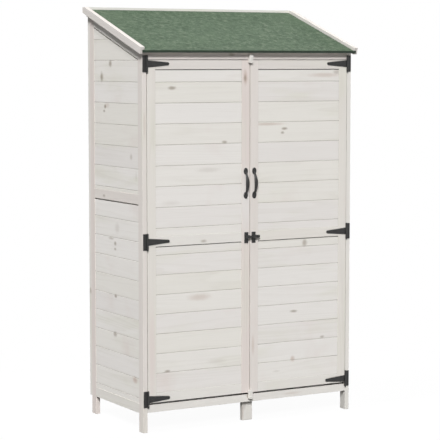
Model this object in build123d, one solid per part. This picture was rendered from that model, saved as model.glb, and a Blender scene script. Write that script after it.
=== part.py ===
from build123d import *
import math
import os

# Garden shed with a lean-to roof and two plank doors on T-hinges.
# Millimetres. +X runs to the right along the front, +Y to the back, +Z up.
# The origin is on the ground, at the centre of the overall box.

# Lumber of the framed panels
lumber_thickness = 19.0
post_width = 38.0
rail_width = 40.0
top_rail_width = 43.0
edge_ease = 0.4

# Planks, housed in a groove around each field
plank_thickness = 9.0
plank_recess = 1.3
groove_depth = 6.0
plank_bevel = 1.4
plank_tongue = 3.5
side_slot = 5.0
door_slot = 3.3
side_upper_cover = 87.3
side_upper_strip = 14.5
side_lower_cover = 79.8
side_lower_strip = 21.3
door_upper_cover = 84.0
door_upper_strip = 33.5
door_lower_cover = 80.4
door_lower_strip = 79.5

# Body
body_width = 1000.0
side_depth = 480.0
leg_height = 76.5
eave_height = 1544.5
side_mid_height = 928.5

# Front
front_rail_low = 82.0
front_rail_height = 31.4
header_height = 33.9
centre_leg_width = 47.0
batten_thickness = 19.0
door_stop_lap = 12.0

# Floor
floor_thickness = 10.0
floor_board_count = 5
floor_board_gap = 2.0
floor_bearer_width = 19.0
floor_cleat_height = 19.0

# Roof
roof_pitch = 18.3
deck_thickness = 7.0
felt_thickness = 3.0
felt_side_gap = 2.0
felt_fold_lap = 9.0
eave_overhang = 21.5
barge_thickness = 19.0
barge_width = 28.5
barge_rise = 12.0
barge_end_gap = 0.4
trim_thickness = 12.0
trim_height = 40.0
trim_drop = 2.5

# Doors
door_side_gap = 2.5
door_middle_gap = 3.5
door_head_gap = 3.0
door_foot_gap = 7.2
door_proud = 0.5
door_stile_width = 38.0
door_rail_width = 40.0
door_top_rail_width = 37.0
door_mid_height = 758.0

# T-hinges
hinge_foot_offset = 16.0
hinge_head_offset = 14.6
barrel_radius = 4.0
barrel_standoff = 0.8
pin_radius = 2.0
pin_clearance = 0.05
pin_head_radius = 3.0
pin_head_height = 1.5
hinge_plate_height = 66.0
hinge_plate_inset = 1.5
hinge_metal = 2.5
hinge_slack = 0.3
plate_slack = 0.5
strap_length = 101.0
strap_root_height = 29.0
strap_tip_radius = 6.0
strap_screw_steps = (22.0, 54.0, 90.0)
plate_screw_steps = (-26.0, -9.0, 9.0, 26.0)

# Screws
screw_head_radius = 3.4
screw_head_height = 1.8
screw_radius = 1.75
screw_cross_length = 4.2
screw_cross_width = 0.9
screw_cross_depth = 1.1
screw_cover = 6.0
panel_screw_count = 5
panel_screw_margin = 120.0

# Handles
handle_rise = 202.0
handle_offset = 20.5
handle_length = 128.0
pad_width = 19.0
pad_height = 28.0
pad_thickness = 3.5
pad_round = 1.5
grip_span = 94.0
grip_reach = 21.5
grip_width = 16.4
grip_thickness = 8.0
neck_width = 8.0
neck_thickness = 6.0
grip_sections = 9
handle_screw_inset = 7.0

# Slide bolt
bolt_drop = 4.1
bolt_plate_offset = 17.5
bolt_plate_width = 18.5
bolt_plate_height = 45.5
bolt_plate_thickness = 2.0
bolt_corner = 2.0
bolt_screw_inset = 6.5
bolt_rod_radius = 4.0
bolt_clearance = 0.1
keeper_clearance = 0.4
bolt_rod_rise = 4.0
bolt_lift = 5.5
saddle_wall = 2.0
bolt_rod_inset = 0.8
bolt_knob_radius = 6.0
bolt_knob_length = 10.0
bolt_knob_gap = 3.0
bolt_knob_round = 1.5

# Turn buttons
button_width = 17.5
button_length = 37.0
button_thickness = 11.0
button_round = 0.8
button_pivot_inset = 10.5
button_clearance = 0.5
button_lap = 11.0
top_button_tilt = 5.0
button_hole_clearance = 0.08
button_screw_radius = 2.0
button_head_radius = 3.2
button_head_height = 1.6
button_head_gap = 0.2

# Places worked out from the sizes above
pitch_angle = math.radians(roof_pitch)
slope = math.tan(pitch_angle)
plumb = 1.0 / math.cos(pitch_angle)
end_lean = math.sin(pitch_angle)
half_width = body_width / 2
inner_half = half_width - lumber_thickness
slot_depth = plank_thickness - plank_tongue
screw_length = lumber_thickness - screw_cover
panel_screw_length = lumber_thickness + post_width / 2
body_depth = side_depth + lumber_thickness
felt_reach = eave_overhang + felt_thickness
barge_reach = eave_overhang - barge_end_gap + barge_rise * end_lean
front_reach = max(felt_reach, barge_reach, door_proud + grip_reach)
overall_depth = front_reach + body_depth + trim_thickness
front_y = front_reach - overall_depth / 2
rear_y = front_y + side_depth
back_y = rear_y + lumber_thickness
trim_back_y = back_y + trim_thickness
inside_y = front_y + lumber_thickness
post_inner_y = front_y + post_width
post_rear_y = rear_y - post_width
panel_rail_top = leg_height + rail_width
side_mid_top = side_mid_height + rail_width
front_rail_top = front_rail_low + front_rail_height
header_bottom = eave_height - header_height
door_bottom = front_rail_top + door_foot_gap
door_top = header_bottom - door_head_gap
door_mid_top = door_mid_height + door_rail_width
door_mid_centre = door_mid_height + door_rail_width / 2
door_outer_x = -inner_half + door_side_gap
door_inner_x = -door_middle_gap / 2
door_front_y = front_y - door_proud
door_back_y = door_front_y + lumber_thickness
hinge_x = door_outer_x - door_side_gap / 2
hinge_y = front_y - barrel_radius - barrel_standoff
hinge_heights = (
    door_bottom + hinge_foot_offset,
    door_mid_centre,
    door_top - hinge_head_offset,
)
handle_height = door_mid_top + handle_rise
bolt_height = door_mid_centre - bolt_drop
bolt_rod_height = bolt_height + bolt_rod_rise
bolt_face_y = door_front_y - bolt_plate_thickness
bolt_y = bolt_face_y - bolt_rod_radius - bolt_lift
button_back_y = door_front_y - button_clearance
button_front_y = button_back_y - button_thickness
top_button_low = door_top - button_lap
top_pivot_z = top_button_low + button_length - button_pivot_inset
bottom_button_low = door_bottom + button_lap - button_length
bottom_pivot_z = bottom_button_low + button_pivot_inset
on_foot = (Align.CENTER, Align.CENTER, Align.MIN)


def deck_under(y):
    """Height of the roof deck's underside at depth y."""
    return eave_height + (y - front_y) * slope


def deck_top(y):
    """Height of the roof deck's upper face at depth y."""
    return deck_under(y) + deck_thickness * plumb


def felt_top(y):
    """Height of the felt's upper face at depth y."""
    return deck_top(y) + felt_thickness * plumb


def barge_top(y):
    """Height of the barge boards' upper edge at depth y."""
    return felt_top(y) + barge_rise * plumb


def barge_under(y):
    """Height of the barge boards' lower edge at depth y."""
    return barge_top(y) - barge_width * plumb


def block(x0, x1, y0, y1, z0, z1):
    """Box between two corners."""
    centre = Pos((x0 + x1) / 2, (y0 + y1) / 2, (z0 + z1) / 2)
    return centre * Box(x1 - x0, y1 - y0, z1 - z0)


def prism_x(points, x0, x1):
    """Outline of (y, z) points, drawn out along X."""
    outline = Plane.YZ.offset(x0) * make_face(Polyline(*points, close=True))
    return extrude(outline, x1 - x0)


def prism_y(points, y0, y1):
    """Outline of (x, z) points, drawn out along Y."""
    outline = Plane.XZ.offset(-y1) * make_face(Polyline(*points, close=True))
    return extrude(outline, y1 - y0)


def under_roof(y0, y1, z0):
    """Outline of (y, z) points from a level lower edge up to the roof deck."""
    return [(y0, z0), (y1, z0), (y1, deck_under(y1)), (y0, deck_under(y0))]


def rod_x(radius, x0, x1, y, z):
    """Round rod along X."""
    return Pos(x0, y, z) * Rot(0, 90, 0) * Cylinder(radius, x1 - x0, align=on_foot)


def rod_y(radius, x, y0, y1, z):
    """Round rod along Y."""
    return Pos(x, y0, z) * Rot(-90, 0, 0) * Cylinder(radius, y1 - y0, align=on_foot)


def rod_z(radius, x, y, z0, z1):
    """Round rod along Z."""
    return Pos(x, y, z0) * Cylinder(radius, z1 - z0, align=on_foot)


def eased(member, run):
    """Member with its long edges broken."""
    return chamfer(member.edges().filter_by(run), edge_ease)


def planks(field, run, first_joint, cover, slot):
    """Field of a panel cut into bevelled planks, with an open slot under the rail above."""
    limits = field.bounding_box()
    margin = 2 * groove_depth
    joints = []
    joint = first_joint
    while joint < limits.max.Z - margin:
        if joint > limits.min.Z + margin:
            joints.append(joint)
        joint += cover
    edges = [limits.min.Z, *joints, limits.max.Z]
    rows = []
    for low, high in zip(edges, edges[1:]):
        bar = block(limits.min.X, limits.max.X, limits.min.Y, limits.max.Y, low, high)
        bar = chamfer(bar.edges().filter_by(run), plank_bevel)
        rows.append((bar & field) - slot)
    return rows


def screw_blank(length):
    """Countersunk screw along +Z, with the face of its head at the origin."""
    head = Cone(screw_head_radius, screw_radius, screw_head_height, align=on_foot)
    return head + Cylinder(screw_radius, length, align=on_foot)


def screws_at(places, length):
    """Screws at their places, each with a cross recess in its head."""
    slit = Box(screw_cross_length, screw_cross_width, 2 * screw_cross_depth)
    screw = screw_blank(length) - slit - Rot(0, 0, 90) * slit
    return [place * screw for place in places]


def holes_at(places, length):
    """Holes that the screws at these places fill."""
    return [place * screw_blank(length) for place in places]


def from_front(x, y, z):
    """Place of a screw driven backwards from a face at y."""
    return Pos(x, y, z) * Rot(-90, 0, 0)


def mirrored(pieces):
    """Pieces of the left half, turned over to the right half."""
    return [mirror(piece, about=Plane.YZ) for piece in pieces]


# Hinge plates, pins and straps of the left half. A thin lip of each plate lies under the strap's barrel.
lip_thickness = barrel_standoff - hinge_slack
plate_edge_x = -half_width + hinge_plate_inset
leaf_edge_x = hinge_x - barrel_radius - plate_slack
plate_screw_x = (plate_edge_x + leaf_edge_x) / 2
plate_face_y = front_y - hinge_metal
strap_face_y = door_front_y - hinge_metal
strap_tip_x = hinge_x + strap_length - strap_tip_radius
plate_half = hinge_plate_height / 2
root_half = strap_root_height / 2
plates = []
pins = []
straps = []
plate_places = []
strap_places = []
for height in hinge_heights:
    low = height - plate_half
    high = height + plate_half
    bore = rod_z(pin_radius + pin_clearance, hinge_x, hinge_y, low, high)

    plate = block(plate_edge_x, leaf_edge_x, plate_face_y, front_y, low, high)
    plate += block(leaf_edge_x, -inner_half, front_y - lip_thickness, front_y, low, high)
    knuckles = (
        (low, height - root_half - hinge_slack),
        (height + root_half + hinge_slack, high),
    )
    for knuckle_low, knuckle_high in knuckles:
        plate += block(leaf_edge_x, hinge_x, plate_face_y, front_y, knuckle_low, knuckle_high)
        plate += rod_z(barrel_radius, hinge_x, hinge_y, knuckle_low, knuckle_high)
    places = [from_front(plate_screw_x, plate_face_y, height + step) for step in plate_screw_steps]
    plates.append(plate - bore - holes_at(places, screw_length))
    plate_places += places

    pin = rod_z(pin_radius, hinge_x, hinge_y, low, high)
    pin += rod_z(pin_head_radius, hinge_x, hinge_y, low - pin_head_height, low)
    pin += rod_z(pin_head_radius, hinge_x, hinge_y, high, high + pin_head_height)
    pins.append(pin)

    strap_outline = [
        (hinge_x, height - root_half),
        (strap_tip_x, height - strap_tip_radius),
        (strap_tip_x, height + strap_tip_radius),
        (hinge_x, height + root_half),
    ]
    strap = prism_y(strap_outline, strap_face_y, door_front_y)
    strap += rod_y(strap_tip_radius, strap_tip_x, strap_face_y, door_front_y, height)
    strap += rod_z(barrel_radius, hinge_x, hinge_y, height - root_half, height + root_half)
    places = [from_front(hinge_x + step, strap_face_y, height) for step in strap_screw_steps]
    straps.append(strap - bore - holes_at(places, screw_length))
    strap_places += places

# Left handle: a bowed grip, thick in the middle, between two screwed pads
handle_x = -handle_offset
handle_half = handle_length / 2
pad_front_y = door_front_y - pad_thickness
bow_foot_y = door_front_y - pad_thickness / 2
bow_rise = grip_reach - grip_thickness / 2 - pad_thickness / 2
bow_radius = ((grip_span / 2) ** 2 + bow_rise ** 2) / (2 * bow_rise)
bow_turn = math.asin(grip_span / 2 / bow_radius)
bow_centre_y = bow_foot_y - bow_rise + bow_radius
sections = []
for index in range(grip_sections):
    part_way = 2 * index / (grip_sections - 1) - 1
    turn = part_way * bow_turn
    swell = math.cos(part_way * math.pi / 2) ** 2
    section_plane = Plane(
        origin=(
            handle_x,
            bow_centre_y - bow_radius * math.cos(turn),
            handle_height + bow_radius * math.sin(turn),
        ),
        x_dir=(1, 0, 0),
        z_dir=(0, math.sin(turn), math.cos(turn)),
    )
    section_width = neck_width + (grip_width - neck_width) * swell
    section_thickness = neck_thickness + (grip_thickness - neck_thickness) * swell
    sections.append(section_plane * Ellipse(section_width / 2, section_thickness / 2))
left_handle = loft(sections)
left_handle -= block(
    handle_x - grip_width, handle_x + grip_width, door_front_y, door_front_y + grip_reach,
    handle_height - handle_half, handle_height + handle_half,
)
handle_places = []
for side in (-1, 1):
    pad_z = handle_height + side * (handle_half - pad_height / 2)
    pad_plane = Plane.XZ.offset(-door_front_y) * Pos(handle_x, pad_z)
    pad = extrude(pad_plane * Ellipse(pad_width / 2, pad_height / 2), pad_thickness)
    left_handle += fillet(pad.edges().group_by(Axis.Y)[0], pad_round)
    screw_z = handle_height + side * (handle_half - handle_screw_inset)
    handle_places.append(from_front(handle_x, pad_front_y, screw_z))
left_handle -= holes_at(handle_places, screw_length)


def bolt_saddle(x, bore_radius):
    """Screwed plate with a saddle around the bolt rod, and the places of its two screws."""
    x0 = x - bolt_plate_width / 2
    x1 = x + bolt_plate_width / 2
    plate_plane = Plane.XZ.offset(-door_front_y) * Pos(x, bolt_height)
    plate_outline = RectangleRounded(bolt_plate_width, bolt_plate_height, bolt_corner)
    saddle = extrude(plate_plane * plate_outline, bolt_plate_thickness)
    outer = bore_radius + saddle_wall
    saddle += block(x0, x1, bolt_y, bolt_face_y, bolt_rod_height - outer, bolt_rod_height + outer)
    saddle += rod_x(outer, x0, x1, bolt_y, bolt_rod_height)
    saddle -= rod_x(bore_radius, x0, x1, bolt_y, bolt_rod_height)
    reach = bolt_plate_height / 2 - bolt_screw_inset
    places = [from_front(x, bolt_face_y, bolt_height + side * reach) for side in (-1, 1)]
    return saddle - holes_at(places, screw_length), places


# Slide bolt: keeper on the left door, bracket and rod on the right door
bolt_keeper, keeper_places = bolt_saddle(-bolt_plate_offset, bolt_rod_radius + keeper_clearance)
bolt_bracket, bracket_places = bolt_saddle(bolt_plate_offset, bolt_rod_radius + bolt_clearance)
rod_end_x = -bolt_plate_offset - bolt_plate_width / 2 + bolt_rod_inset
knob_x = bolt_plate_offset + bolt_plate_width / 2 + bolt_knob_gap
knob = rod_x(bolt_knob_radius, knob_x, knob_x + bolt_knob_length, bolt_y, bolt_rod_height)
knob = fillet(knob.edges().filter_by(GeomType.CIRCLE), bolt_knob_round)
bolt_rod = rod_x(bolt_rod_radius, rod_end_x, knob_x + bolt_knob_length / 2, bolt_y, bolt_rod_height)
bolt_rod += knob


def turn_button(low, pivot_z):
    """Wooden turn button with its pivot hole."""
    x = button_width / 2
    body = block(-x, x, button_front_y, button_back_y, low, low + button_length)
    body = fillet(body.edges().filter_by(Axis.Y), button_round)
    hole = rod_y(button_screw_radius + button_hole_clearance, 0, button_front_y, button_back_y, pivot_z)
    return body - hole


def button_screw(pivot_z):
    """Round-headed screw that a turn button pivots on."""
    face_y = button_front_y - button_head_gap
    shank = rod_y(button_screw_radius, 0, face_y, front_y + screw_length, pivot_z)
    return shank + rod_y(button_head_radius, 0, face_y - button_head_height, face_y, pivot_z)


top_turn_button = turn_button(top_button_low, top_pivot_z)
top_turn_button = top_turn_button.rotate(Axis((0, 0, top_pivot_z), (0, 1, 0)), top_button_tilt)
bottom_turn_button = turn_button(bottom_button_low, bottom_pivot_z)
top_button_screw = button_screw(top_pivot_z)
bottom_button_screw = button_screw(bottom_pivot_z)

# Screws through the back stiles into the rear posts
panel_screw_x = -half_width + lumber_thickness / 2
panel_screw_low = leg_height + panel_screw_margin
panel_screw_high = deck_under(rear_y) - panel_screw_margin
panel_screw_step = (panel_screw_high - panel_screw_low) / (panel_screw_count - 1)
panel_places = []
for index in range(panel_screw_count):
    screw_z = panel_screw_low + index * panel_screw_step
    panel_places.append(Pos(panel_screw_x, back_y, screw_z) * Rot(90, 0, 0))
panel_holes = holes_at(panel_places, panel_screw_length)

# Left side panel
outer_x = -half_width
inner_x = -inner_half
field_x0 = outer_x + plank_recess
field_x1 = field_x0 + plank_thickness
field_y0 = post_inner_y - groove_depth
field_y1 = post_rear_y + groove_depth
rail_drop = top_rail_width * plumb
field_drop = (top_rail_width - groove_depth) * plumb
side_lower_outline = [
    (field_y0, panel_rail_top - groove_depth),
    (field_y1, panel_rail_top - groove_depth),
    (field_y1, side_mid_height + groove_depth),
    (field_y0, side_mid_height + groove_depth),
]
side_upper_outline = [
    (field_y0, side_mid_top - groove_depth),
    (field_y1, side_mid_top - groove_depth),
    (field_y1, deck_under(field_y1) - field_drop),
    (field_y0, deck_under(field_y0) - field_drop),
]
top_rail_outline = [
    (post_inner_y, deck_under(post_inner_y) - rail_drop),
    (post_rear_y, deck_under(post_rear_y) - rail_drop),
    (post_rear_y, deck_under(post_rear_y)),
    (post_inner_y, deck_under(post_inner_y)),
]
side_lower_field = prism_x(side_lower_outline, field_x0, field_x1)
side_upper_field = prism_x(side_upper_outline, field_x0, field_x1)
side_fields = [side_lower_field, side_upper_field]
slot_x = field_x0 + slot_depth
slot_drop = rail_drop + side_slot * plumb
side_upper_slot_outline = [
    (post_inner_y, deck_under(post_inner_y) - slot_drop),
    (post_rear_y, deck_under(post_rear_y) - slot_drop),
    (post_rear_y, deck_under(post_rear_y) - field_drop),
    (post_inner_y, deck_under(post_inner_y) - field_drop),
]
side_upper_slot = prism_x(side_upper_slot_outline, field_x0, slot_x)
side_lower_slot = block(
    field_x0, slot_x, post_inner_y, post_rear_y,
    side_mid_height - side_slot, side_mid_height + groove_depth,
)
front_post = prism_x(under_roof(front_y, post_inner_y, 0), outer_x, inner_x)
rear_post = prism_x(under_roof(post_rear_y, rear_y, 0), outer_x, inner_x)
side_top_rail = prism_x(top_rail_outline, outer_x, inner_x)
side_mid_rail = block(outer_x, inner_x, post_inner_y, post_rear_y, side_mid_height, side_mid_top)
side_bottom_rail = block(outer_x, inner_x, post_inner_y, post_rear_y, leg_height, panel_rail_top)
side_panel = {
    "front_post": [eased(front_post, Axis.Z) - side_fields - holes_at(plate_places, screw_length)],
    "rear_post": [eased(rear_post, Axis.Z) - side_fields - panel_holes],
    "top_rail": [side_top_rail - side_fields],
    "mid_rail": [eased(side_mid_rail, Axis.Y) - side_fields],
    "bottom_rail": [eased(side_bottom_rail, Axis.Y) - side_fields],
    "upper_planks": planks(
        side_upper_field, Axis.Y, side_mid_top + side_upper_strip, side_upper_cover, side_upper_slot
    ),
    "lower_planks": planks(
        side_lower_field, Axis.Y, panel_rail_top + side_lower_strip, side_lower_cover, side_lower_slot
    ),
}

# Back panel
stile_x = half_width - post_width
back_field_x = stile_x + groove_depth
back_field_y1 = back_y - plank_recess
back_field_y0 = back_field_y1 - plank_thickness
back_top_bottom = deck_under(rear_y) - top_rail_width
back_lower_field = block(
    -back_field_x, back_field_x, back_field_y0, back_field_y1,
    panel_rail_top - groove_depth, side_mid_height + groove_depth,
)
back_upper_field = block(
    -back_field_x, back_field_x, back_field_y0, back_field_y1,
    side_mid_top - groove_depth, back_top_bottom + groove_depth,
)
back_fields = [back_lower_field, back_upper_field]
back_stile = prism_x(under_roof(rear_y, back_y, leg_height), -half_width, -stile_x)
back_stile = eased(back_stile, Axis.Z) - back_fields - panel_holes
back_top_rail = prism_x(under_roof(rear_y, back_y, back_top_bottom), -stile_x, stile_x)
back_mid_rail = block(-stile_x, stile_x, rear_y, back_y, side_mid_height, side_mid_top)
back_bottom_rail = block(-stile_x, stile_x, rear_y, back_y, leg_height, panel_rail_top)
back_slot_y = back_field_y1 - slot_depth
back_lower_slot = block(
    -stile_x, stile_x, back_slot_y, back_field_y1,
    side_mid_height - side_slot, side_mid_height + groove_depth,
)
back_upper_slot = block(
    -stile_x, stile_x, back_slot_y, back_field_y1,
    back_top_bottom - side_slot, back_top_bottom + groove_depth,
)
back_planks = planks(
    back_lower_field, Axis.X, panel_rail_top + side_lower_strip, side_lower_cover, back_lower_slot
)
back_planks += planks(
    back_upper_field, Axis.X, side_mid_top + side_upper_strip, side_upper_cover, back_upper_slot
)

# Front: header, bottom rail, centre leg and the batten behind the header
header = prism_x(under_roof(front_y, inside_y, header_bottom), -inner_half, inner_half)
front_rail = block(-inner_half, inner_half, front_y, inside_y, front_rail_low, front_rail_top)
leg_x = centre_leg_width / 2
leg_back_y = inside_y + lumber_thickness
centre_leg = block(-leg_x, leg_x, inside_y, leg_back_y, 0, front_rail_top)
batten_back_y = inside_y + batten_thickness
batten_outline = under_roof(inside_y, batten_back_y, door_top - door_stop_lap)
roof_batten = prism_x(batten_outline, -inner_half, inner_half)

# Floor boards on two side cleats and a centre joist
floor_top = front_rail_top + floor_thickness
board_room = rear_y - inside_y - floor_board_gap * (floor_board_count - 1)
board_width = board_room / floor_board_count
floor_boards = []
for index in range(floor_board_count):
    board_y = inside_y + index * (board_width + floor_board_gap)
    board = block(-inner_half, inner_half, board_y, board_y + board_width, front_rail_top, floor_top)
    floor_boards.append(eased(board, Axis.X))
cleat_x = -inner_half + floor_bearer_width
cleat_low = front_rail_top - floor_cleat_height
cleat = block(-inner_half, cleat_x, inside_y, rear_y, cleat_low, front_rail_top)
joist_x = floor_bearer_width / 2
joist = block(-joist_x, joist_x, leg_back_y, rear_y, front_rail_low, front_rail_top)

# Roof: the felt is folded down over the front edge and laps over the barge boards' square front ends,
# and the barge boards' rear ends are cut plumb, and level with the rear trim
deck_front_y = front_y - eave_overhang
felt_front_y = front_y - felt_reach
barge_high_y = front_y - barge_reach
barge_low_y = barge_high_y + barge_width * end_lean
trim_top = barge_top(back_y) - trim_drop
barge_level_y = back_y - trim_drop / slope
felt_half = half_width - felt_side_gap
fold_half = half_width + felt_fold_lap
deck_outline = [
    (deck_front_y, deck_under(deck_front_y)),
    (back_y, deck_under(back_y)),
    (back_y, deck_top(back_y)),
    (deck_front_y, deck_top(deck_front_y)),
]
felt_outline = [
    (felt_front_y, deck_under(deck_front_y)),
    (deck_front_y, deck_under(deck_front_y)),
    (deck_front_y, deck_top(deck_front_y)),
    (back_y, deck_top(back_y)),
    (back_y, felt_top(back_y)),
    (felt_front_y, felt_top(felt_front_y)),
]
fold_outline = [
    (felt_front_y, deck_under(deck_front_y)),
    (deck_front_y, deck_under(deck_front_y)),
    (deck_front_y, felt_top(deck_front_y)),
    (felt_front_y, felt_top(felt_front_y)),
]
barge_outline = [
    (barge_low_y, barge_under(barge_low_y)),
    (trim_back_y, barge_under(trim_back_y)),
    (trim_back_y, trim_top),
    (barge_level_y, trim_top),
    (barge_high_y, barge_top(barge_high_y)),
]
roof_deck = prism_x(deck_outline, -half_width, half_width)
roof_felt = prism_x(felt_outline, -felt_half, felt_half)
roof_felt += prism_x(fold_outline, -fold_half, fold_half)
barge_board = prism_x(barge_outline, -half_width - barge_thickness, -half_width)
barge_board = chamfer(barge_board.edges(), edge_ease)
rear_trim = block(-half_width, half_width, back_y, trim_back_y, trim_top - trim_height, trim_top)

# Left door; the right door is its mirror image
stile_in = door_outer_x + door_stile_width
stile_out = door_inner_x - door_stile_width
low_rail_top = door_bottom + door_rail_width
high_rail_bottom = door_top - door_top_rail_width
door_field_x0 = stile_in - groove_depth
door_field_x1 = stile_out + groove_depth
door_field_y0 = door_front_y + plank_recess
door_field_y1 = door_field_y0 + plank_thickness
door_lower_field = block(
    door_field_x0, door_field_x1, door_field_y0, door_field_y1,
    low_rail_top - groove_depth, door_mid_height + groove_depth,
)
door_upper_field = block(
    door_field_x0, door_field_x1, door_field_y0, door_field_y1,
    door_mid_top - groove_depth, high_rail_bottom + groove_depth,
)
door_fields = [door_lower_field, door_upper_field]
hinge_stile = block(door_outer_x, stile_in, door_front_y, door_back_y, door_bottom, door_top)
meeting_stile = block(stile_out, door_inner_x, door_front_y, door_back_y, door_bottom, door_top)
top_rail = block(stile_in, stile_out, door_front_y, door_back_y, high_rail_bottom, door_top)
mid_rail = block(stile_in, stile_out, door_front_y, door_back_y, door_mid_height, door_mid_top)
low_rail = block(stile_in, stile_out, door_front_y, door_back_y, door_bottom, low_rail_top)
door_slot_y = door_field_y0 + slot_depth
door_lower_slot = block(
    stile_in, stile_out, door_field_y0, door_slot_y,
    door_mid_height - door_slot, door_mid_height + groove_depth,
)
door_upper_slot = block(
    stile_in, stile_out, door_field_y0, door_slot_y,
    high_rail_bottom - door_slot, high_rail_bottom + groove_depth,
)
strap_holes = holes_at(strap_places, screw_length)
meeting_holes = holes_at(handle_places + keeper_places, screw_length)
door = {
    "hinge_stile": [eased(hinge_stile, Axis.Z) - door_fields - strap_holes],
    "meeting_stile": [eased(meeting_stile, Axis.Z) - door_fields - meeting_holes],
    "top_rail": [eased(top_rail, Axis.X) - door_fields - strap_holes],
    "mid_rail": [eased(mid_rail, Axis.X) - door_fields - strap_holes],
    "bottom_rail": [eased(low_rail, Axis.X) - door_fields - strap_holes],
    "upper_planks": planks(
        door_upper_field, Axis.X, door_mid_top + door_upper_strip, door_upper_cover, door_upper_slot
    ),
    "lower_planks": planks(
        door_lower_field, Axis.X, low_rail_top + door_lower_strip, door_lower_cover, door_lower_slot
    ),
}

# Every node of the assembly with its solids
nodes = {}
for name, pieces in side_panel.items():
    nodes["left_" + name] = pieces
    nodes["right_" + name] = mirrored(pieces)
for name, pieces in door.items():
    nodes["left_door_" + name] = pieces
    nodes["right_door_" + name] = mirrored(pieces)
nodes["back_stiles"] = [back_stile] + mirrored([back_stile])
nodes["back_mid_rail"] = [eased(back_mid_rail, Axis.X) - back_fields]
nodes["back_bottom_rail"] = [eased(back_bottom_rail, Axis.X) - back_fields]
nodes["back_top_rail"] = [back_top_rail - back_fields]
nodes["back_planks"] = back_planks
nodes["front_header"] = [header - top_button_screw]
nodes["front_bottom_rail"] = [eased(front_rail, Axis.X) - bottom_button_screw]
nodes["front_roof_batten"] = [roof_batten]
nodes["centre_leg"] = [eased(centre_leg, Axis.Z)]
nodes["floor_boards"] = floor_boards
nodes["floor_bearers"] = [cleat, joist] + mirrored([cleat])
nodes["roof_deck"] = [roof_deck]
nodes["roof_felt"] = [roof_felt]
nodes["left_barge_board"] = [barge_board]
nodes["right_barge_board"] = mirrored([barge_board])
nodes["rear_roof_trim"] = [eased(rear_trim, Axis.X)]
nodes["hinge_plates"] = plates + mirrored(plates)
nodes["hinge_pins"] = pins + mirrored(pins)
nodes["left_hinge_straps"] = straps
nodes["right_hinge_straps"] = mirrored(straps)
nodes["left_handle"] = [left_handle]
nodes["right_handle"] = mirrored([left_handle])
nodes["bolt_keeper"] = [bolt_keeper]
nodes["bolt_bracket"] = [bolt_bracket]
nodes["bolt_rod"] = [bolt_rod]
nodes["top_turn_button"] = [top_turn_button]
nodes["bottom_turn_button"] = [bottom_turn_button]
nodes["turn_button_screws"] = [top_button_screw, bottom_button_screw]
plate_screws = screws_at(plate_places, screw_length)
panel_screws = screws_at(panel_places, panel_screw_length)
shared_screws = screws_at(strap_places + handle_places, screw_length)
nodes["hinge_plate_screws"] = plate_screws + mirrored(plate_screws)
nodes["panel_screws"] = panel_screws + mirrored(panel_screws)
nodes["left_door_screws"] = shared_screws + screws_at(keeper_places, screw_length)
nodes["right_door_screws"] = mirrored(shared_screws) + screws_at(bracket_places, screw_length)

os.makedirs("parts", exist_ok=True)
for name, pieces in nodes.items():
    solids = [solid for piece in pieces for solid in piece.solids()]
    export_step(Compound(solids), "parts/" + name + ".step")
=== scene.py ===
import math
import random

import bpy
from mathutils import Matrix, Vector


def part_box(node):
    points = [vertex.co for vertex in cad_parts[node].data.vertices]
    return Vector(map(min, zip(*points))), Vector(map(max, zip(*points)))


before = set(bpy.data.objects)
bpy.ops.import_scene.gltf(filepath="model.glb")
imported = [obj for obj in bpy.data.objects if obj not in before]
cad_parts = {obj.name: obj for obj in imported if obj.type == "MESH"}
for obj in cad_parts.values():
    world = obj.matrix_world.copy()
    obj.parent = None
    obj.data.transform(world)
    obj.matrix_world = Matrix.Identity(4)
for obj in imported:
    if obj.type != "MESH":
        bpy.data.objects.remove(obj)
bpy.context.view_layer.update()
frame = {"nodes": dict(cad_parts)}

nodes = frame["nodes"]
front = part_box("front_header")[0][1]
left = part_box("left_front_post")[0][0]

# Camera, fitted to the photograph's edges
CAMERA_LEFT = 3.63443
CAMERA_AHEAD = 6.11086
CAMERA_HEIGHT = 1.50251
CAMERA_YAW = 29.744
CAMERA_PITCH = 5.274
CAMERA_LENS = 140.58
CAMERA_SENSOR = 36.0

# Linear colours
FIR = (0.822, 0.797, 0.756)
FIR_LIGHT = (0.850, 0.824, 0.792)
FIR_PALE_PAINTED_LIGHT = (0.888, 0.862, 0.830)
FIR_ROSY = (0.789, 0.717, 0.678)
FIR_ROSE_PAINTED_LIGHT = (0.862, 0.803, 0.765)
FIR_YELLOW = (0.830, 0.806, 0.742)
FIR_GREY = (0.822, 0.790, 0.762)
FIR_BLUSH = (0.797, 0.748, 0.708)
FIR_DULL = (0.775, 0.735, 0.700)
FIR_STRAW = (0.805, 0.772, 0.722)
STAIN_GREEN = (0.780, 0.764, 0.679)
STAIN_PINK = (0.764, 0.679, 0.642)
GRAIN = (0.585, 0.539, 0.481)
KNOT = (0.265, 0.208, 0.152)
KNOT_RED = (0.510, 0.380, 0.310)
PAINTED_SHADE = (0.330, 0.290, 0.250)
PAINTED_DEEP_SHADE = (0.050, 0.044, 0.038)
FELT_SHADE = (0.048, 0.085, 0.050)
FELT_GREEN = (0.119, 0.167, 0.109)
FELT_PALE = (0.178, 0.222, 0.163)
FELT_DARK = (0.052, 0.082, 0.050)
FELT_LIGHT = (0.154, 0.195, 0.137)
PAINTED_FELT_SHADE = (0.022, 0.034, 0.026)
STEEL_BLACK = (0.016, 0.016, 0.016)
STEEL_DUSTY = (0.032, 0.032, 0.031)
ZINC_DULL = (0.70, 0.69, 0.67)
ZINC_BRIGHT = (0.86, 0.85, 0.83)

# Studio light: each lamp's turn to the left of the front, height and spread in degrees,
# and its level on a face towards it
LAMPS = {
    "key": (30.0, 36.0, 17.0, 1.02),
    "left_top": (86.0, 60.0, 10.0, 0.40),
    "back_fill": (225.0, 12.0, 19.0, 0.85),
}
LAMP_DISTANCE = 60.0
LAMP_AIM = 0.9
SKY_ZENITH = 0.20

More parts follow.
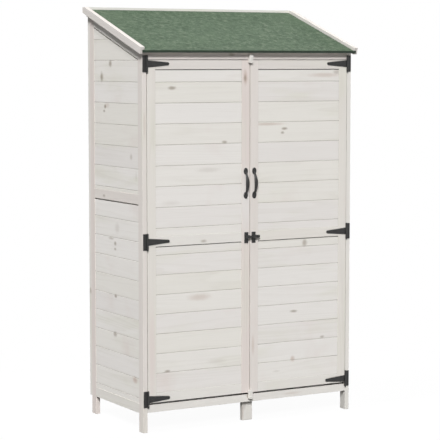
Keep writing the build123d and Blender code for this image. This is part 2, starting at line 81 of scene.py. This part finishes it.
# Studio floor: how pale it is to light and to the camera, and its glow near the object and away from it
FLOOR_SIZE = 80.0
FLOOR_BOUNCE = 0.20
FLOOR_SEEN = 0.92
FLOOR_GLOW_NEAR = 0.96
FLOOR_GLOW_AWAY = 1.0
FLOOR_NEAR = 0.5
FLOOR_AWAY = 1.8

# Axes that a board's grain runs along
ALONG_X = (1, 0, 0)
ALONG_Y = (0, 1, 0)
ALONG_Z = (0, 0, 1)

# Rows of boards: the axis they are stacked along, then each field's low end, high end,
# first joint and cover
SIDE_UPPER_ROWS = ("Z", [(0.950, 1.700, 0.9830, 0.0873)])
SIDE_LOWER_ROWS = ("Z", [(0.100, 0.950, 0.1378, 0.0798)])
DOOR_UPPER_ROWS = ("Z", [(0.780, 1.500, 0.8315, 0.0840)])
DOOR_LOWER_ROWS = ("Z", [(0.140, 0.780, 0.2401, 0.0804)])
BACK_ROWS = ("Z", SIDE_LOWER_ROWS[1] + SIDE_UPPER_ROWS[1])
FLOOR_ROWS = ("Y", [(-0.300, 0.300, -0.1325, 0.0926)])

# Painted shade in grooves, corners and gaps: its strength, and how near another surface has to be
BOARD_PAINTED_SHADE = (0.9, 0.009)
SILL_PAINTED_SHADE = (0.9, 0.016)
MEMBER_PAINTED_SHADE = (0.2, 0.004)
FELT_PAINTED_SHADE_REACH = 0.012
OPENNESS_SAMPLES = 8

# Grain: how far the texture may slip from board to board, and the growth rings in one swing of the flow
GRAIN_SLIP = 23.7
GRAIN_RINGS = 15.0
MEMBER_SEED_STEP = 0.37

# Knots: a knot's half size through the board, and the ranges of the scattered ones
KNOT_THROUGH = 0.05
KNOT_LENGTHS = (0.010, 0.022)
KNOT_HEIGHTS = (0.006, 0.014)
KNOT_DEPTHS = (0.25, 0.6)

# Painted shade on the felt's turned-down front edge: how far behind the front it starts, and where it is
# full
FELT_EDGE_PAINTED_SHADE = (0.0016, 0.0004)

METAL_ENDINGS = ("_screws", "_pins", "_plates", "_straps", "_handle")


class Graph:
    """The node tree of a material or a world, with short calls to add and join nodes."""

    def __init__(self, owner, shader):
        owner.use_nodes = True
        self.owner = owner
        self.tree = owner.node_tree
        self.shader = self.tree.nodes[shader]

    def node(self, kind, **settings):
        made = self.tree.nodes.new(kind)
        for key, value in settings.items():
            setattr(made, key, value)
        return made

    def put(self, socket, value):
        """Sets a socket to a constant, or joins it to another node's socket."""
        if isinstance(value, bpy.types.NodeSocket):
            self.tree.links.new(value, socket)
        else:
            socket.default_value = value

    def shade(self, **values):
        """Sets the shader's sockets, named with _ for a space."""
        for name, value in values.items():
            self.put(self.shader.inputs[name.replace("_", " ")], value)

    def math(self, operation, *values):
        made = self.node("ShaderNodeMath", operation=operation)
        for socket, value in zip(made.inputs, values):
            self.put(socket, value)
        return made.outputs[0]

    def vector(self, operation, *values):
        made = self.node("ShaderNodeVectorMath", operation=operation)
        for socket, value in zip(made.inputs, values):
            self.put(socket, value)
        return made.outputs["Value" if operation == "LENGTH" else "Vector"]

    def place(self):
        """A point's place in the model frame, in metres."""
        return self.node("ShaderNodeTexCoord").outputs["Object"]

    def axis(self, vector, name):
        """One of a vector's X, Y and Z."""
        made = self.node("ShaderNodeSeparateXYZ")
        self.put(made.inputs[0], vector)
        return made.outputs[name]

    def noise(self, vector, scale=1.0, detail=2.0, roughness=0.5, distortion=0.0):
        made = self.node("ShaderNodeTexNoise")
        self.put(made.inputs["Vector"], vector)
        made.inputs["Scale"].default_value = scale
        made.inputs["Detail"].default_value = detail
        made.inputs["Roughness"].default_value = roughness
        made.inputs["Distortion"].default_value = distortion
        return made.outputs["Fac"]

    def ramp(self, value, low, high, to_low=0.0, to_high=1.0):
        """A smooth step from to_low at low to to_high at high."""
        made = self.node("ShaderNodeMapRange", interpolation_type="SMOOTHSTEP")
        self.put(made.inputs["Value"], value)
        made.inputs["From Min"].default_value = low
        made.inputs["From Max"].default_value = high
        made.inputs["To Min"].default_value = to_low
        made.inputs["To Max"].default_value = to_high
        return made.outputs["Result"]

    def mix(self, factor, a, b):
        """A mix of two colours, each a tuple or a socket."""
        made = self.node("ShaderNodeMix", data_type="RGBA")
        self.put(made.inputs[0], factor)
        for socket, colour in zip(made.inputs[6:8], (a, b)):
            self.put(socket, (*colour, 1.0) if isinstance(colour, tuple) else colour)
        return made.outputs[2]

    def openness(self, reach):
        """How open a point is, where only surfaces within the reach close it in."""
        made = self.node("ShaderNodeAmbientOcclusion", samples=OPENNESS_SAMPLES)
        made.inputs["Distance"].default_value = reach
        return made.outputs["AO"]

    def chance(self, place, rows, seed):
        """A random value for each board, from the number of joints that lie before it."""
        axis, fields = rows
        along = self.axis(place, axis)
        number = seed
        for low, high, joint, cover in fields:
            inside = self.math("MINIMUM", self.math("MAXIMUM", along, low), high)
            joints = self.math("FLOOR", self.math("DIVIDE", self.math("SUBTRACT", inside, joint), cover))
            number = self.math("ADD", joints, number)
        made = self.node("ShaderNodeTexWhiteNoise", noise_dimensions="1D")
        self.put(made.inputs["W"], number)
        return made.outputs["Value"]

    def bump(self, height, strength, distance):
        made = self.node("ShaderNodeBump")
        self.put(made.inputs["Height"], height)
        made.inputs["Strength"].default_value = strength
        made.inputs["Distance"].default_value = distance
        return made.outputs["Normal"]

    def seen(self):
        """1 for what the camera sees, also by reflection or through glass, and 0 for light."""
        path = self.node("ShaderNodeLightPath")
        seen = self.math("MAXIMUM", path.outputs["Is Camera Ray"], path.outputs["Is Glossy Ray"])
        return self.math("MAXIMUM", seen, path.outputs["Is Transmission Ray"])


def material_graph(name):
    """A new material's graph."""
    return Graph(bpy.data.materials.new(name), "Principled BSDF")


def stretch(run, along, across):
    """Scale of a texture that is drawn out along the grain."""
    return tuple(along if axis else across for axis in run)


def wood(name, run, tint, seed, spots, painted_shade_setting, rows=None):
    """Whitewashed fir with its grain along run, placed knots and stains, and painted shade in its
    grooves, corners and gaps.

    Boards in rows vary in tone, and each has its own grain.
    """
    g = material_graph(name)
    place = g.place()
    colour = tint
    if rows:
        chance = g.chance(place, rows, seed)
        slip = g.math("MULTIPLY_ADD", chance, GRAIN_SLIP, seed)
        shift = g.node("ShaderNodeCombineXYZ")
        for socket in shift.inputs:
            g.put(socket, slip)
        moved = g.vector("ADD", place, shift.outputs["Vector"])
        colour = g.mix(g.ramp(chance, 0.50, 0.95, 0.0, 0.6), colour, FIR_YELLOW)
        colour = g.mix(g.ramp(chance, 0.35, 0.05, 0.0, 0.7), colour, FIR_GREY)
    else:
        moved = g.vector("ADD", place, (seed, seed, seed))

    drawn = g.vector("MULTIPLY", moved, stretch(run, 0.35, 9.0))
    flow = g.noise(drawn, roughness=0.45, distortion=0.15)
    rings = g.math("FRACT", g.math("MULTIPLY", flow, GRAIN_RINGS))
    late = g.math("MULTIPLY", g.ramp(rings, 0.25, 0.95), g.ramp(rings, 1.0, 0.95))
    drawn = g.vector("MULTIPLY", moved, stretch(run, 9.0, 330.0))
    fibre = g.noise(drawn, detail=3.0, roughness=0.6)
    drawn = g.vector("MULTIPLY", moved, stretch(run, 2.2, 9.0))
    cloud = g.noise(drawn, detail=3.0, roughness=0.55, distortion=0.4)
    veil = g.noise(moved, scale=4.0, detail=3.0, roughness=0.6)

    colour = g.mix(g.ramp(cloud, 0.50, 0.75, 0.0, 0.6), colour, STAIN_GREEN)
    colour = g.mix(g.ramp(veil, 0.58, 0.85, 0.0, 0.6), colour, STAIN_PINK)
    line = g.math("MULTIPLY", late, g.ramp(cloud, 0.30, 0.75, 0.02, 0.15))
    thread = g.math("MULTIPLY", g.ramp(fibre, 0.45, 0.80), 0.10)
    colour = g.mix(g.math("ADD", line, thread), colour, GRAIN)

    wobble = g.math("MULTIPLY_ADD", g.noise(moved, scale=90.0), 0.5, 0.75)
    for centre, size, paint, depth in spots:
        away = g.vector("MULTIPLY", g.vector("SUBTRACT", place, centre), tuple(1.0 / s for s in size))
        away = g.math("MULTIPLY", g.vector("LENGTH", away), wobble)
        colour = g.mix(g.ramp(away, 1.0, 0.15, 0.0, depth), colour, paint)
    strength, reach = painted_shade_setting
    # Painted shade: the colour darkens in two steps, the second nearly black, where other surfaces are
    # near, in grooves, corners and gaps.
    openness = g.openness(reach)
    colour = g.mix(g.ramp(openness, 0.95, 0.45, 0.0, strength), colour, PAINTED_SHADE)
    colour = g.mix(g.ramp(openness, 0.55, 0.20, 0.0, strength), colour, PAINTED_DEEP_SHADE)

    relief = g.math("ADD", g.math("MULTIPLY", late, 0.5), fibre)
    g.shade(Base_Color=colour, Roughness=g.ramp(fibre, 0.25, 0.75, 0.58, 0.72))
    g.shade(Specular_IOR_Level=0.28, Normal=g.bump(relief, 0.25, 0.0006))
    return g.owner


def felt(name, front_y):
    """Green mineral felt: a bed of coloured granules, with painted shade on the turned-down front edge
    and in the corners beside other parts.
    """
    g = material_graph(name)
    place = g.place()
    grit = g.noise(place, scale=420.0, roughness=0.7)
    granules = g.node("ShaderNodeTexVoronoi", feature="F1")
    g.put(granules.inputs["Vector"], place)
    granules.inputs["Scale"].default_value = 330.0
    tone = g.node("ShaderNodeSeparateColor")
    g.put(tone.inputs[0], granules.outputs["Color"])
    mottle = g.noise(place, scale=46.0, detail=3.0, roughness=0.6, distortion=0.6)
    drift = g.noise(place, scale=5.0)

    colour = g.mix(tone.outputs[0], FELT_SHADE, FELT_GREEN)
    colour = g.mix(g.ramp(grit, 0.55, 0.75, 0.0, 0.55), colour, FELT_PALE)
    colour = g.mix(g.ramp(mottle, 0.50, 0.35, 0.0, 0.75), colour, FELT_DARK)
    colour = g.mix(g.ramp(mottle, 0.50, 0.68, 0.0, 0.75), colour, FELT_LIGHT)
    colour = g.mix(g.ramp(drift, 0.45, 0.75, 0.0, 0.35), colour, FELT_GREEN)
    # Painted shade in the corners where other parts rise beside the felt, as along the barge boards.
    colour = g.mix(g.ramp(g.openness(FELT_PAINTED_SHADE_REACH), 0.85, 0.35, 0.0, 0.75), colour, PAINTED_FELT_SHADE)
    # Painted shade on the turned-down front edge.
    start, end = FELT_EDGE_PAINTED_SHADE
    edge = g.ramp(g.axis(place, "Y"), front_y + start, front_y + end)
    colour = g.mix(g.math("MULTIPLY", edge, 0.85), colour, PAINTED_FELT_SHADE)

    relief = g.math("ADD", granules.outputs["Distance"], g.math("MULTIPLY", grit, 0.6))
    g.shade(Base_Color=colour, Roughness=g.ramp(grit, 0.3, 0.7, 0.78, 0.95))
    g.shade(Specular_IOR_Level=0.25, Normal=g.bump(relief, 0.6, 0.0012))
    return g.owner


def steel(name):
    """Black powder-coated steel with a fine orange-peel skin."""
    g = material_graph(name)
    place = g.place()
    peel = g.noise(place, scale=900.0)
    dust = g.noise(place, scale=60.0, detail=3.0, roughness=0.6)
    colour = g.mix(g.ramp(dust, 0.40, 0.80, 0.0, 0.7), STEEL_BLACK, STEEL_DUSTY)
    g.shade(Base_Color=colour, Roughness=g.ramp(dust, 0.3, 0.8, 0.42, 0.58))
    g.shade(Specular_IOR_Level=0.45, Normal=g.bump(peel, 0.12, 0.0004))
    return g.owner


def zinc(name):
    """Zinc-plated steel, dull and slightly uneven."""
    g = material_graph(name)
    bloom = g.noise(g.place(), scale=700.0, detail=3.0, roughness=0.6)
    g.shade(Base_Color=g.mix(bloom, ZINC_DULL, ZINC_BRIGHT), Metallic=1.0)
    g.shade(Roughness=g.ramp(bloom, 0.3, 0.7, 0.34, 0.52))
    return g.owner


def dress(node, material):
    """Gives a CAD node one material on all its faces."""
    slots = nodes[node].data.materials
    slots.clear()
    slots.append(material)


def is_metal(node):
    """Whether a node is a steel fitting or a fastener."""
    return node.endswith(METAL_ENDINGS) or node.startswith("bolt_")


def spot(x, z, wide, high, paint, depth):
    """A knot or stain on a front board, with its place and half sizes in millimetres."""
    return ((x / 1000, front, z / 1000), (wide / 1000, KNOT_THROUGH, high / 1000), paint, depth)


def side_spot(y, z, wide, high, paint, depth):
    """A knot or stain on a left side board, at y millimetres behind the front."""
    return ((left, front + y / 1000, z / 1000), (KNOT_THROUGH, wide / 1000, high / 1000), paint, depth)


def scattered(node, count, run):
    """Knots at seeded random places on a node that no placed list covers."""
    rng = random.Random(count)
    low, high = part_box(node)
    found = []
    for _ in range(count):
        centre = tuple(rng.uniform(a, b) for a, b in zip(low, high))
        length = rng.uniform(*KNOT_LENGTHS)
        height = rng.uniform(*KNOT_HEIGHTS)
        size = (length, KNOT_THROUGH, height) if run == ALONG_X else (KNOT_THROUGH, length, height)
        found.append((centre, size, KNOT, rng.uniform(*KNOT_DEPTHS)))
    return found


# Roof felt and metal
dress("roof_felt", felt("green_felt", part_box("roof_felt")[0][1]))
black = steel("black_steel")
for name in filter(is_metal, nodes):
    dress(name, black)
dress("turn_button_screws", zinc("zinc_steel"))

# Knots and stains on the boards that the photograph shows
left_upper_spots = [
    side_spot(289, 1494, 20, 20, KNOT, 0.70),
    side_spot(370, 1438, 20, 28, KNOT, 0.70),
    side_spot(339, 1316, 16, 12, KNOT, 0.80),
    side_spot(349, 1297, 14, 8, KNOT, 0.65),
    side_spot(320, 1322, 30, 16, KNOT_RED, 0.30),
    side_spot(102, 1117, 16, 18, KNOT, 0.35),
    side_spot(58, 1042, 10, 30, KNOT, 0.15),
]
left_lower_spots = [
    side_spot(290, 770, 34, 9, KNOT, 0.40),
    side_spot(252, 751, 16, 13, KNOT, 0.65),
    side_spot(252, 728, 15, 9, KNOT, 0.55),
    side_spot(233, 817, 30, 30, KNOT, 0.20),
    side_spot(250, 532, 18, 11, KNOT, 0.70),
    side_spot(257, 371, 26, 16, KNOT, 0.55),
    side_spot(75, 207, 30, 20, KNOT_RED, 0.60),
]
left_door_upper_spots = [
    spot(-364.8, 1395.9, 26, 11, KNOT, 0.65),
    spot(-121.2, 1173.0, 19, 9, KNOT, 0.60),
    spot(-196.6, 1060.2, 80, 14, KNOT, 0.16),
    spot(-373.0, 932.0, 60, 16, KNOT, 0.10),
]
left_door_lower_spots = [
    spot(-239.4, 539.4, 74, 20, KNOT_RED, 0.38),
    spot(-389.0, 245.4, 19, 8, KNOT, 0.65),
    spot(-159.2, 266.6, 60, 16, KNOT, 0.12),
]
right_door_upper_spots = [
    spot(168.4, 1222.8, 22, 8, KNOT, 0.70),
    spot(158.6, 1206.2, 12, 8, KNOT, 0.60),
    spot(90.0, 1242.9, 110, 9, KNOT_RED, 0.45),
    spot(428.0, 1457.6, 26, 14, KNOT, 0.40),
    spot(366.5, 1445.0, 110, 14, KNOT_RED, 0.38),
]
right_door_lower_spots = [
    spot(270.2, 737.0, 18, 22, KNOT, 0.55),
    spot(216.5, 448.4, 25, 8, KNOT, 0.60),
    spot(361.3, 327.5, 16, 9, KNOT, 0.50),
    spot(212.4, 244.9, 16, 18, KNOT_RED, 0.55),
    spot(132.7, 198.3, 24, 6, KNOT, 0.18),
]

# Boards: the grain's axis, tint, seed, rows, and placed knots or the number of scattered ones
boards = {
    # The left side's boards are tinted paler than the right side's and the doors': painted light that
    # lifts the less lit left side.
    "left_upper_planks": (ALONG_Y, FIR_PALE_PAINTED_LIGHT, 1.3, SIDE_UPPER_ROWS, left_upper_spots),
    "left_lower_planks": (ALONG_Y, FIR_PALE_PAINTED_LIGHT, 4.1, SIDE_LOWER_ROWS, left_lower_spots),
    "left_door_upper_planks": (ALONG_X, FIR_LIGHT, 7.7, DOOR_UPPER_ROWS, left_door_upper_spots),
    "left_door_lower_planks": (ALONG_X, FIR_LIGHT, 9.2, DOOR_LOWER_ROWS, left_door_lower_spots),
    "right_door_upper_planks": (ALONG_X, FIR_LIGHT, 12.4, DOOR_UPPER_ROWS, right_door_upper_spots),
    "right_door_lower_planks": (ALONG_X, FIR_LIGHT, 15.8, DOOR_LOWER_ROWS, right_door_lower_spots),
    "right_upper_planks": (ALONG_Y, FIR_LIGHT, 47.9, SIDE_UPPER_ROWS, 9),
    "right_lower_planks": (ALONG_Y, FIR_LIGHT, 51.0, SIDE_LOWER_ROWS, 10),
    "back_planks": (ALONG_X, FIR, 100.6, BACK_ROWS, 26),
    "floor_boards": (ALONG_X, FIR, 54.1, FLOOR_ROWS, 11),
}
for name, (run, tint, seed, rows, spots) in boards.items():
    if isinstance(spots, int):
        spots = scattered(name, spots, run)
    dress(name, wood(name + "_fir", run, tint, seed, spots, BOARD_PAINTED_SHADE, rows))

# Posts, rails and other single members
member_tints = {
    "left_barge_board": FIR_DULL,
    "right_barge_board": FIR_DULL,
    "left_front_post": FIR_BLUSH,
    "left_rear_post": FIR_ROSY,
    "left_mid_rail": FIR_BLUSH,
    "right_mid_rail": FIR_STRAW,
    "right_rear_post": FIR_BLUSH,
    "back_mid_rail": FIR_STRAW,
    # The header's rosy tint is lightened against the eave's shadow: painted light.
    "front_header": FIR_ROSE_PAINTED_LIGHT,
    "left_door_hinge_stile": FIR_STRAW,
    "right_door_hinge_stile": FIR_STRAW,
    "left_door_meeting_stile": FIR_ROSY,
    "right_door_meeting_stile": FIR_BLUSH,
    # The door top rails' dull tint is painted shade from the eave.
    "left_door_top_rail": FIR_DULL,
    "right_door_top_rail": FIR_DULL,
    "right_door_mid_rail": FIR_STRAW,
}
member_spots = {
    "left_front_post": [spot(-490, 1250, 8, 80, KNOT_RED, 0.25)],
    "left_mid_rail": [side_spot(353, 943.5, 18, 9, KNOT, 0.50)],
    "back_stiles": [side_spot(490, 527, 16, 20, KNOT, 0.40)],
    "front_header": [spot(-88, 1530, 22, 9, KNOT, 0.55)],
    "front_bottom_rail": [spot(210, 97, 60, 9, KNOT_RED, 0.25)],
    # The dark patch at the top of the centre leg is painted shadow under the front bottom rail.
    "centre_leg": [spot(-16, 60, 16, 26, PAINTED_SHADE, 0.45), spot(-22, 30, 8, 60, KNOT_RED, 0.40)],
    "left_door_hinge_stile": [spot(-460, 330, 24, 300, STAIN_PINK, 0.70)],
    "left_door_meeting_stile": [
        spot(-22, 1436, 14, 44, KNOT_RED, 0.60),
        spot(-24, 1434, 8, 20, KNOT, 0.50),
        spot(-20, 925, 60, 190, FIR_GREY, 0.90),
    ],
    "right_door_meeting_stile": [spot(16, 320, 10, 60, KNOT_RED, 0.35)],
    "left_door_mid_rail": [spot(-220, 769.5, 20, 9, KNOT, 0.50)],
}
# Members that get stronger painted shade in the gap under the doors
sills = ("front_bottom_rail", "left_door_bottom_rail", "right_door_bottom_rail")

for name in nodes:
    if name in boards or name == "roof_felt" or is_metal(name):
        continue
    low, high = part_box(name)
    spans = [b - a for a, b in zip(low, high)]
    run = (ALONG_X, ALONG_Y, ALONG_Z)[spans.index(max(spans))]
    tint = member_tints.get(name, FIR)
    seed = sum(map(ord, name)) * MEMBER_SEED_STEP
    painted_shade_setting = SILL_PAINTED_SHADE if name in sills else MEMBER_PAINTED_SHADE
    dress(name, wood(name + "_fir", run, tint, seed, member_spots.get(name, ()), painted_shade_setting))

# Studio floor: white to the camera, with the object's faint shadow near it
bpy.ops.mesh.primitive_plane_add(size=FLOOR_SIZE, location=(0, 0, 0))
floor = bpy.context.object
floor.name = "floor"
g = material_graph("pale_floor")
seen = g.seen()
g.shade(Base_Color=g.mix(seen, (FLOOR_BOUNCE,) * 3, (FLOOR_SEEN,) * 3))
g.shade(Roughness=1.0, Specular_IOR_Level=0.0)
away = g.vector("LENGTH", g.place())
glow_share = g.ramp(away, FLOOR_NEAR, FLOOR_AWAY, FLOOR_GLOW_NEAR, FLOOR_GLOW_AWAY)
blend = g.node("ShaderNodeMixShader")
g.put(blend.inputs[0], g.math("MULTIPLY", seen, glow_share))
g.put(blend.inputs[1], g.shader.outputs[0])
g.put(blend.inputs[2], g.node("ShaderNodeEmission").outputs[0])
g.put(g.tree.nodes["Material Output"].inputs["Surface"], blend.outputs[0])
floor.data.materials.append(g.owner)

# World: soft light that is strongest from above, and a white backdrop for the camera
world = bpy.data.worlds.new("studio")
bpy.context.scene.world = world
g = Graph(world, "Background")
sky = g.node("ShaderNodeMapRange")
g.put(sky.inputs["Value"], g.axis(g.node("ShaderNodeTexCoord").outputs["Generated"], "Z"))
sky.inputs["To Max"].default_value = SKY_ZENITH
g.shade(Color=(1, 1, 1, 1), Strength=g.math("MAXIMUM", g.seen(), sky.outputs["Result"]))

# Lamps: the key to the left of the front, a higher one for the left side,
# and one for the back and the right side
for name, (turn, height, spread, level) in LAMPS.items():
    turn = math.radians(turn)
    height = math.radians(height)
    data = bpy.data.lights.new(name, "AREA")
    data.shape = "DISK"
    data.size = 2 * LAMP_DISTANCE * math.tan(math.radians(spread) / 2)
    data.energy = level * math.pi ** 2 * LAMP_DISTANCE ** 2
    lamp = bpy.data.objects.new(name, data)
    lamp.location = (
        -LAMP_DISTANCE * math.cos(height) * math.sin(turn),
        -LAMP_DISTANCE * math.cos(height) * math.cos(turn),
        LAMP_DISTANCE * math.sin(height) + LAMP_AIM,
    )
    lamp.rotation_euler = (math.pi / 2 - height, 0, -turn)
    bpy.context.collection.objects.link(lamp)

# Camera
data = bpy.data.cameras.new("camera")
data.sensor_width = CAMERA_SENSOR
data.lens = CAMERA_LENS
camera = bpy.data.objects.new("camera", data)
camera.location = (-CAMERA_LEFT, front - CAMERA_AHEAD, CAMERA_HEIGHT)
camera.rotation_euler = (math.radians(90 - CAMERA_PITCH), 0, -math.radians(CAMERA_YAW))
bpy.context.collection.objects.link(camera)
bpy.context.scene.camera = camera
bpy.context.scene.view_settings.view_transform = "Standard"
